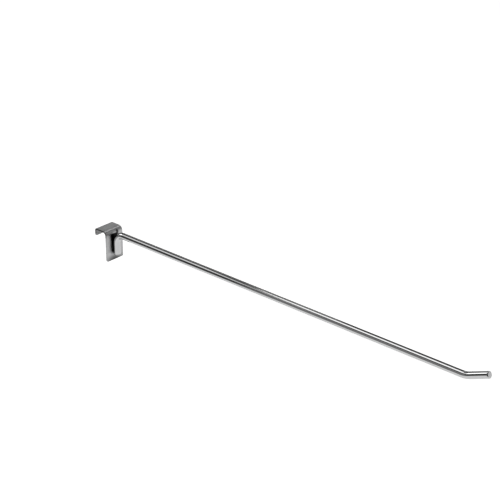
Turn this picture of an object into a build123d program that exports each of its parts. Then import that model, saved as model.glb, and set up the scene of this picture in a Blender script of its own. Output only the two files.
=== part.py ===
# Single hook for a display rail: a folded sheet saddle hangs over the rail, and a round rod welded to
# its front plate reaches forward to an upturned tip. Millimetres, +Z up, -Y towards the shopper.
# The origin is the middle of the saddle's underside, where it sits on the top of the rail.
from build123d import *
from math import cos, radians, sin
import os

# Rail that the saddle drops over
rail_thickness = 10.0
rail_play = 1.5

# Folded sheet
sheet_thickness = 1.5
saddle_width = 19.6
plate_drop = 27.5
lip_drop = 5.5
front_fold_radius = 2.6
back_fold_radius = 0.5
plate_corner_radius = 1.5
lip_corner_radius = 1.0
cut_edge_rounding = 0.25

# Rod
rod_diameter = 6.0
arm_reach = 400.0
arm_axis_drop = 2.0
root_bend_radius = 9.0
leg_drop = 22.0
leg_end_chamfer = 0.4
weld_set_down = 0.15

# Upturned tip
tip_length = 22.5
tip_angle = 22.0
tip_bend_radius = 20.0
tip_rim_radius = 0.9

# Faces of the saddle, worked out from the rail
rail_space = rail_thickness + rail_play
plate_back_y = -rail_space / 2
plate_front_y = plate_back_y - sheet_thickness
lip_inner_y = rail_space / 2

# Corners of the rod's centre line, before its bends are rounded
leg_y = plate_front_y - rod_diameter / 2 + weld_set_down
arm_z = -arm_axis_drop
tip_end_y = plate_front_y - arm_reach
tip_rise = tip_length * sin(radians(tip_angle))
tip_run = tip_length * cos(radians(tip_angle))


# Saddle: the inner line of the fold, thickened outwards and drawn out to its width
with BuildPart() as saddle_bracket:
    with BuildSketch(Plane.YZ):
        with BuildLine():
            FilletPolyline(
                (plate_back_y, -plate_drop),
                (plate_back_y, 0),
                (lip_inner_y, 0),
                (lip_inner_y, -lip_drop),
                radius=(front_fold_radius, back_fold_radius),
            )
            offset(amount=sheet_thickness, side=Side.LEFT)
        make_face()
    extrude(amount=saddle_width / 2, both=True)

    # Rounded lower corners of the front plate and of the lip behind the rail
    through_edges = saddle_bracket.edges().filter_by(Axis.Y)
    fillet(through_edges.filter_by_position(Axis.Y, -rail_space, 0).group_by(Axis.Z)[0], plate_corner_radius)
    through_edges = saddle_bracket.edges().filter_by(Axis.Y)
    fillet(through_edges.filter_by_position(Axis.Y, 0, rail_space).group_by(Axis.Z)[0], lip_corner_radius)

    # Cut edges rounded over by the stamping; each round runs on around the corners that it meets
    cut_sides = saddle_bracket.faces().filter_by(Axis.X).group_by(Axis.X)
    side_edges = (cut_sides[0] + cut_sides[-1]).edges()
    fillet(side_edges.filter_by(lambda edge: edge.length > 2 * sheet_thickness), cut_edge_rounding)

# Rod: one length of wire, bent down into a leg at the plate and up at the tip
with BuildPart() as hook_rod:
    with BuildLine(Plane.YZ) as centre_line:
        FilletPolyline(
            (leg_y, -leg_drop),
            (leg_y, arm_z),
            (tip_end_y + tip_run, arm_z),
            (tip_end_y, arm_z + tip_rise),
            radius=(root_bend_radius, tip_bend_radius),
        )
    with BuildSketch(Plane.XY.offset(-leg_drop)):
        with Locations((0, leg_y)):
            Circle(rod_diameter / 2)
    sweep(path=centre_line.wire())
    fillet(hook_rod.faces().sort_by(Axis.Y)[0].edges(), tip_rim_radius)
    chamfer(hook_rod.faces().sort_by(Axis.Z)[0].edges(), leg_end_chamfer)

    # The weld presses the leg a little flat against the plate
    split(bisect_by=Plane.XZ.offset(-plate_front_y), keep=Keep.TOP)

saddle_bracket.part.label = "saddle_bracket"
hook_rod.part.label = "hook_rod"

os.makedirs("parts", exist_ok=True)
export_step(saddle_bracket.part, "parts/saddle_bracket.step")
export_step(hook_rod.part, "parts/hook_rod.step")
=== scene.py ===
import math

import bpy
from mathutils import Matrix, Vector


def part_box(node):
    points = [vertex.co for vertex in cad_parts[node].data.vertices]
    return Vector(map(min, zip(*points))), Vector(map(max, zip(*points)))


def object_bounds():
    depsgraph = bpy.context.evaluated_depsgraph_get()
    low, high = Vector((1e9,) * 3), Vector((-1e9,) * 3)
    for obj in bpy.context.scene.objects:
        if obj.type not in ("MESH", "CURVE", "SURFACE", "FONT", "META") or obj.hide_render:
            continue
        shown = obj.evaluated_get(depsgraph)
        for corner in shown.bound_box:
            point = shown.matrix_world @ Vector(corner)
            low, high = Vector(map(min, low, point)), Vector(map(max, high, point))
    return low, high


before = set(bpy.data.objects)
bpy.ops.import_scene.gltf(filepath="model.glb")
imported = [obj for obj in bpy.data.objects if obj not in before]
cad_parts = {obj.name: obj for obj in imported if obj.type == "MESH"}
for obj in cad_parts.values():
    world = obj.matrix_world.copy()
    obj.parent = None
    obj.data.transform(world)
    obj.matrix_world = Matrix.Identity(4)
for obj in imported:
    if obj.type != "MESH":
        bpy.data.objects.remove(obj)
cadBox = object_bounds()

# Looks for a chromed display-rail hook: bright drawn wire and a plated, folded saddle.
# Metres, in the part's own frame: +Z up, the arm runs towards -Y, the rail seat is the origin.

print("materials")


def newMaterial(name):
    # an empty node material with its output and one shader
    material = bpy.data.materials.new(name)
    material.use_nodes = True
    nodes = material.node_tree.nodes
    nodes.clear()
    output = nodes.new("ShaderNodeOutputMaterial")
    shader = nodes.new("ShaderNodeBsdfPrincipled")
    material.node_tree.links.new(shader.outputs["BSDF"], output.inputs["Surface"])
    return material, nodes, material.node_tree.links, shader


def mathNode(nodes, links, operation, first, second=0.0):
    # one Math node; each input is a number or another node's output
    node = nodes.new("ShaderNodeMath")
    node.operation = operation
    for socket, value in zip(node.inputs, (first, second)):
        if isinstance(value, (int, float)):
            socket.default_value = value
        else:
            links.new(value, socket)
    return node.outputs["Value"]


def vectorNode(nodes, links, operation, first, second):
    # one Vector Math node, of another node's output and a fixed vector
    node = nodes.new("ShaderNodeVectorMath")
    node.operation = operation
    links.new(first, node.inputs[0])
    node.inputs[1].default_value = second
    return node.outputs


def ramp(nodes, links, value, start, end):
    # 0 up to start, 1 from end on, with a soft step between; it also runs downwards
    node = nodes.new("ShaderNodeMapRange")
    node.interpolation_type = "SMOOTHSTEP"
    node.inputs["From Min"].default_value = start
    node.inputs["From Max"].default_value = end
    links.new(value, node.inputs["Value"])
    return node.outputs["Result"]


def readSurface(nodes, links):
    # object coordinates, whole and split, and the way that the surface faces
    where = nodes.new("ShaderNodeTexCoord")
    place = nodes.new("ShaderNodeSeparateXYZ")
    links.new(where.outputs["Object"], place.inputs["Vector"])
    geometry = nodes.new("ShaderNodeNewGeometry")
    facing = nodes.new("ShaderNodeSeparateXYZ")
    links.new(geometry.outputs["Normal"], facing.inputs["Vector"])
    return where.outputs["Object"], place.outputs, facing.outputs


def addTexture(nodes, links, shader, where, look):
    # a fine noise moves the roughness between its two ends and raises a very low relief
    noise = nodes.new("ShaderNodeTexNoise")
    noise.inputs["Scale"].default_value = look["textureScale"]
    noise.inputs["Detail"].default_value = look["textureDetail"]
    links.new(where, noise.inputs["Vector"])
    drift = nodes.new("ShaderNodeMapRange")
    drift.inputs["To Min"].default_value, drift.inputs["To Max"].default_value = look["roughness"]
    links.new(noise.outputs["Fac"], drift.inputs["Value"])
    links.new(drift.outputs["Result"], shader.inputs["Roughness"])
    bump = nodes.new("ShaderNodeBump")
    bump.inputs["Strength"].default_value = look["reliefStrength"]
    bump.inputs["Distance"].default_value = look["reliefDepth"]
    links.new(noise.outputs["Fac"], bump.inputs["Height"])
    links.new(bump.outputs["Normal"], shader.inputs["Normal"])


# Painted shade in a dark seam where the leg meets the plate, wider under the bend
paintedSeamShade = {
    "foot": -0.0196,
    "top": -0.0026,
    "footHalfWidth": 0.0023,
    "topHalfWidth": 0.0044,
    "fade": 0.0008,
    "shade": 0.02,                # how much of its brightness metal keeps under full painted shade
}


def shadeColour(nodes, links, shader, colour, mask):
    # the metal's colour, going over to painted dark shade where the mask is 1
    mix = nodes.new("ShaderNodeMix")
    mix.data_type = "RGBA"
    mix.inputs["A"].default_value = (*colour, 1.0)
    mix.inputs["B"].default_value = (*[c * paintedSeamShade["shade"] for c in colour], 1.0)
    links.new(mask, mix.inputs["Factor"])
    links.new(mix.outputs["Result"], shader.inputs["Base Color"])


def shadedSeamHeight(nodes, links, height):
    # 1 between the foot and the top of the painted shade seam
    foot, top, fade = paintedSeamShade["foot"], paintedSeamShade["top"], paintedSeamShade["fade"]
    above = ramp(nodes, links, height, foot - fade, foot)
    below = ramp(nodes, links, height, top + fade, top)
    return mathNode(nodes, links, "MULTIPLY", above, below)


def frontOfPlate():
    # the saddle's box reaches forwards as far as the plate's front face
    return float(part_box("saddle_bracket")[0][1])


wireLook = {
    "colour": (0.62, 0.622, 0.625),
    "roughness": (0.035, 0.075),
    "drawLines": (900.0, 6.0, 900.0),   # per metre across the wire, along it and up it
    "textureScale": 1.0,          # faint lines that drawing left along the wire
    "textureDetail": 3.0,
    "reliefStrength": 0.35,
    "reliefDepth": 0.000004,
    "backDepth": 0.0026,          # painted shade covers the leg this far out from the plate
    "backFade": 0.0004,
    "crestReach": 0.0115,         # painted shade also covers the crest of the bend this far out
    "crestFade": 0.003,
    "crestSide": (-0.66, -0.48),  # all but its left flank
    "crestRise": (0.2, 0.45),     # where it faces upwards
    "crestShade": 0.9,
    "footTop": -0.0206,           # fainter painted shade covers the leg's foot below this height
    "footFade": 0.0009,
    "footShade": 0.45,
}


def makeWireChrome(look):
    material, nodes, links, shader = newMaterial("chromedWire")
    shader.inputs["Metallic"].default_value = 1.0
    where, place, facing = readSurface(nodes, links)

    # painted shade: the leg beside the plate, the crest of the bend and, fainter, the leg's foot
    backEdge = frontOfPlate() - look["backDepth"]
    back = ramp(nodes, links, place["Y"], backEdge - look["backFade"], backEdge + look["backFade"])
    creviceShade = mathNode(nodes, links, "MULTIPLY", back, shadedSeamHeight(nodes, links, place["Z"]))

    crestEdge = frontOfPlate() - look["crestReach"]
    near = ramp(nodes, links, place["Y"], crestEdge, crestEdge + look["crestFade"])
    aside = ramp(nodes, links, facing["X"], *look["crestSide"])
    upward = ramp(nodes, links, facing["Z"], *look["crestRise"])
    crest = mathNode(nodes, links, "MULTIPLY", near, mathNode(nodes, links, "MULTIPLY", aside, upward))
    crest = mathNode(nodes, links, "MULTIPLY", crest, look["crestShade"])

    foot = ramp(nodes, links, place["Z"], look["footTop"], look["footTop"] - look["footFade"])
    foot = mathNode(nodes, links, "MULTIPLY", foot, look["footShade"])

    paintedShade = mathNode(nodes, links, "MAXIMUM", mathNode(nodes, links, "MAXIMUM", creviceShade, crest), foot)
    shadeColour(nodes, links, shader, look["colour"], paintedShade)

    stretch = nodes.new("ShaderNodeMapping")
    stretch.inputs["Scale"].default_value = look["drawLines"]
    links.new(where, stretch.inputs["Vector"])
    addTexture(nodes, links, shader, stretch.outputs["Vector"], look)
    return material


sheetLook = {
    "colour": (0.52, 0.522, 0.525),
    "roughness": (0.264, 0.4125),  # plated over a rolled, unpolished face
    "textureScale": 260.0,        # slow waviness under the plating
    "textureDetail": 2.0,
    "reliefStrength": 0.5,
    "reliefDepth": 0.000012,
    "shadeDepth": 0.0009,          # the painted shade stays on the front of the plate
    "shadeDepthFade": 0.0004,
    "edgeSide": (0.35, 0.75),     # a sheared edge is what faces this squarely sideways
    "edgeFoot": -0.004,           # above this height, round the folds, the edge gets painted shade
    "edgeFade": 0.001,
    "edgeShade": 0.12,            # about how much of its brightness an edge under painted shade keeps
}

# painted shade on the plate's front: centre across and up, reach, fully dark share of it, strength
shadeMarks = [
    ((-0.0008, -0.0272), (0.0135, 0.0078), 0.12, 0.80),   # below the leg's foot
    ((0.0034, -0.0020), (0.0019, 0.0034), 0.35, 0.95),    # beside the bend
]


def shadeMark(nodes, links, where, mark):
    # a soft oval: the distance from its centre, measured in its own reaches
    (acrossAt, heightAt), (reachAcross, reachUp), core, strength = mark
    centre = (acrossAt / reachAcross, 0.0, heightAt / reachUp)
    scaled = vectorNode(nodes, links, "MULTIPLY", where, (1.0 / reachAcross, 0.0, 1.0 / reachUp))
    away = vectorNode(nodes, links, "DISTANCE", scaled["Vector"], centre)
    return mathNode(nodes, links, "MULTIPLY", ramp(nodes, links, away["Value"], 1.0, core), strength)


def plateSeamShade(nodes, links, place):
    # the painted shade seam down the middle of the plate, its half width growing evenly from foot to
    # top
    halfWidth = nodes.new("ShaderNodeMapRange")
    halfWidth.inputs["From Min"].default_value = paintedSeamShade["foot"]
    halfWidth.inputs["From Max"].default_value = paintedSeamShade["top"]
    halfWidth.inputs["To Min"].default_value = paintedSeamShade["footHalfWidth"]
    halfWidth.inputs["To Max"].default_value = paintedSeamShade["topHalfWidth"]
    links.new(place["Z"], halfWidth.inputs["Value"])
    aside = mathNode(nodes, links, "ABSOLUTE", place["X"])
    beyond = mathNode(nodes, links, "SUBTRACT", aside, halfWidth.outputs["Result"])
    across = ramp(nodes, links, beyond, paintedSeamShade["fade"], -paintedSeamShade["fade"])
    return mathNode(nodes, links, "MULTIPLY", across, shadedSeamHeight(nodes, links, place["Z"]))


def makeSheetPlating(look):
    material, nodes, links, shader = newMaterial("platedSheet")
    shader.inputs["Metallic"].default_value = 1.0
    where, place, facing = readSurface(nodes, links)

    # painted shade: the seam, the marks and the sheared edges near the top darken the plating
    paintedShade = plateSeamShade(nodes, links, place)
    for mark in shadeMarks:
        paintedShade = mathNode(nodes, links, "MAXIMUM", paintedShade, shadeMark(nodes, links, where, mark))
    frontEdge = frontOfPlate() + look["shadeDepth"]
    front = ramp(nodes, links, place["Y"], frontEdge + look["shadeDepthFade"], frontEdge)
    paintedShade = mathNode(nodes, links, "MULTIPLY", paintedShade, front)

    # painted shade on the sheared edges round the top and folds
    sheared = ramp(nodes, links, mathNode(nodes, links, "ABSOLUTE", facing["X"]), *look["edgeSide"])
    foot, fade = look["edgeFoot"], look["edgeFade"]
    upper = ramp(nodes, links, place["Z"], foot - fade, foot + fade)
    shadedEdge = mathNode(nodes, links, "MULTIPLY", sheared, upper)
    shadedEdge = mathNode(nodes, links, "MULTIPLY", shadedEdge, 1.0 - look["edgeShade"])
    shadeColour(nodes, links, shader, look["colour"], mathNode(nodes, links, "MAXIMUM", paintedShade, shadedEdge))

    addTexture(nodes, links, shader, where, look)
    return material


def giveMaterial(nodeName, material):
    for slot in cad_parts[nodeName].material_slots:
        slot.material = material


giveMaterial("hook_rod", makeWireChrome(wireLook))
giveMaterial("saddle_bracket", makeSheetPlating(sheetLook))

print("floor and studio")

floorLook = {
    "drop": 0.20,                 # below the lowest point of the hook
    "size": 60.0,                 # its edge shows only from less than about 10 degrees up
    "colour": (0.80, 0.80, 0.80),
    "roughness": 0.9,
    "cameraGlow": 0.88,           # lifts the floor to white for the camera
    "mirrorGlow": 0.62,           # and lights what the metal mirrors, near the hook
    "glowCentre": (0.25, -1.20),
    "glowInner": 1.62,            # mirrored in full within this distance of its centre
    "glowOuter": 1.80,            # and not at all past this one
}


def makeFloor(look):
    # a plain square under the hook
    half = look["size"] / 2
    level = cadBox[0][2] - look["drop"]
    corners = [(-half, -half, level), (half, -half, level), (half, half, level), (-half, half, level)]
    mesh = bpy.data.meshes.new("studioFloor")
    mesh.from_pydata(corners, [], [(0, 1, 2, 3)])
    floor = bpy.data.objects.new("studioFloor", mesh)
    bpy.context.scene.collection.objects.link(floor)
    material, nodes, links, shader = newMaterial("paleFloor")
    shader.inputs["Base Color"].default_value = (*look["colour"], 1.0)
    shader.inputs["Roughness"].default_value = look["roughness"]
    shader.inputs["Specular IOR Level"].default_value = 0.0

    # the glow reaches the camera and what mirrors the floor, and lights no dull surface
    rays = nodes.new("ShaderNodeLightPath").outputs
    seen = mathNode(nodes, links, "MULTIPLY", rays["Is Camera Ray"], look["cameraGlow"])
    mirrored = mathNode(nodes, links, "ADD", rays["Is Glossy Ray"], rays["Is Transmission Ray"])
    mirrored = mathNode(nodes, links, "MINIMUM", mirrored, 1.0)
    mirrored = mathNode(nodes, links, "MULTIPLY", mirrored, look["mirrorGlow"])
    # mirrored, it fades outwards like a pool of light
    where = nodes.new("ShaderNodeTexCoord").outputs["Object"]
    away = vectorNode(nodes, links, "DISTANCE", where, (*look["glowCentre"], level))
    fade = ramp(nodes, links, away["Value"], look["glowOuter"], look["glowInner"])
    glow = mathNode(nodes, links, "ADD", seen, mathNode(nodes, links, "MULTIPLY", mirrored, fade))
    shader.inputs["Emission Color"].default_value = (1.0, 1.0, 1.0, 1.0)
    links.new(glow, shader.inputs["Emission Strength"])
    mesh.materials.append(material)


roomLook = {
    "horizonGrey": 0.04,          # at eye level and below
    "ceilingGrey": 0.12,          # overhead
    "horizonTop": 0.3,            # as a share of straight up
    "ceilingEdge": 0.9,
}


def makeRoom(look):
    # a dim, soft room that the metal mirrors between the soft boxes
    world = bpy.data.worlds.new("softRoom")
    world.use_nodes = True
    bpy.context.scene.world = world
    nodes, links = world.node_tree.nodes, world.node_tree.links
    nodes.clear()
    direction = nodes.new("ShaderNodeSeparateXYZ")
    links.new(nodes.new("ShaderNodeTexCoord").outputs["Generated"], direction.inputs["Vector"])
    rise = nodes.new("ShaderNodeMapRange")
    rise.interpolation_type = "SMOOTHSTEP"
    rise.inputs["From Min"].default_value = look["horizonTop"]
    rise.inputs["From Max"].default_value = look["ceilingEdge"]
    rise.inputs["To Min"].default_value = look["horizonGrey"]
    rise.inputs["To Max"].default_value = look["ceilingGrey"]
    links.new(direction.outputs["Z"], rise.inputs["Value"])
    background = nodes.new("ShaderNodeBackground")
    links.new(rise.outputs["Result"], background.inputs["Color"])
    output = nodes.new("ShaderNodeOutputWorld")
    links.new(background.outputs["Background"], output.inputs["Surface"])


# name, centre, what it faces, size across and along, glow; a box that faces straight down is
# aimed a hair to one side, which settles how it is turned
softBoxes = [
    ("topSoftBox", (-0.18, 0.135, 1.00), (-0.18, 0.1349, 0.0), (0.66, 0.87), 1.45),
    ("rearTopSoftBox", (-0.55, 1.02, 1.00), (-0.55, 1.0199, 0.0), (0.76, 0.66), 0.95),
    ("rearSoftBox", (-0.42, 1.50, 0.88), (-0.25, -0.4, 0.0), (0.90, 0.55), 2.0),
    ("rightSoftBox", (0.88, 0.13, 0.94), (0.0, -0.05, 0.0), (0.32, 0.60), 1.5),
    ("rightFill", (1.20, -0.75, 0.70), (0.0, -0.05, 0.0), (0.90, 0.75), 0.55),
    ("rightRearFill", (1.05, 0.95, 0.66), (0.0, 0.95, 0.0), (0.76, 0.22), 1.15),
    ("leftRearFill", (-1.50, 0.64, 0.50), (0.0, -0.2, 0.0), (0.62, 0.80), 0.26),
    ("frontFill", (1.15, -1.42, 0.10), (0.0, -0.1, 0.0), (0.90, 0.62), 0.66),
]


def makeSoftBox(name, centre, target, size, glow):
    lamp = bpy.data.lights.new(name, "AREA")
    lamp.shape = "RECTANGLE"
    lamp.size, lamp.size_y = size
    lamp.energy = glow * math.pi * size[0] * size[1]   # the power that makes its face glow this much
    obj = bpy.data.objects.new(name, lamp)
    obj.location = centre
    obj.rotation_euler = (Vector(target) - Vector(centre)).to_track_quat("-Z", "Y").to_euler()
    obj.visible_camera = False
    bpy.context.scene.collection.objects.link(obj)


makeFloor(floorLook)
makeRoom(roomLook)
for softBox in softBoxes:
    makeSoftBox(*softBox)

print("camera")

cameraSetup = {
    "azimuth": -47.68,            # degrees, from the front towards the left
    "elevation": 25.19,
    "distance": 1.4897,
    "aimAt": (0.07461, -0.10082, -0.01515),
    "focalPixels": 1692.6,        # focal length, for an image 500 pixels wide
    "imagePixels": 500.0,
    "sensorWidth": 36.0,
    "farthestSeen": 50.0,         # past the corners of the floor
}


def makeCamera(setup):
    turn = math.radians(setup["azimuth"])
    lift = math.radians(setup["elevation"])
    back = Vector((math.sin(turn) * math.cos(lift), -math.cos(turn) * math.cos(lift), math.sin(lift)))
    side = Vector((math.cos(turn), math.sin(turn), 0.0))
    up = back.cross(side)
    lens = bpy.data.cameras.new("photoView")
    lens.sensor_width = setup["sensorWidth"]
    lens.lens = setup["focalPixels"] * lens.sensor_width / setup["imagePixels"]
    lens.clip_end = setup["farthestSeen"]
    obj = bpy.data.objects.new("photoView", lens)
    place = Vector(setup["aimAt"]) + back * setup["distance"]
    obj.matrix_world = Matrix.Translation(place) @ Matrix((side, up, back)).transposed().to_4x4()
    bpy.context.scene.collection.objects.link(obj)
    bpy.context.scene.camera = obj


makeCamera(cameraSetup)
bpy.context.scene.view_settings.view_transform = "Standard"
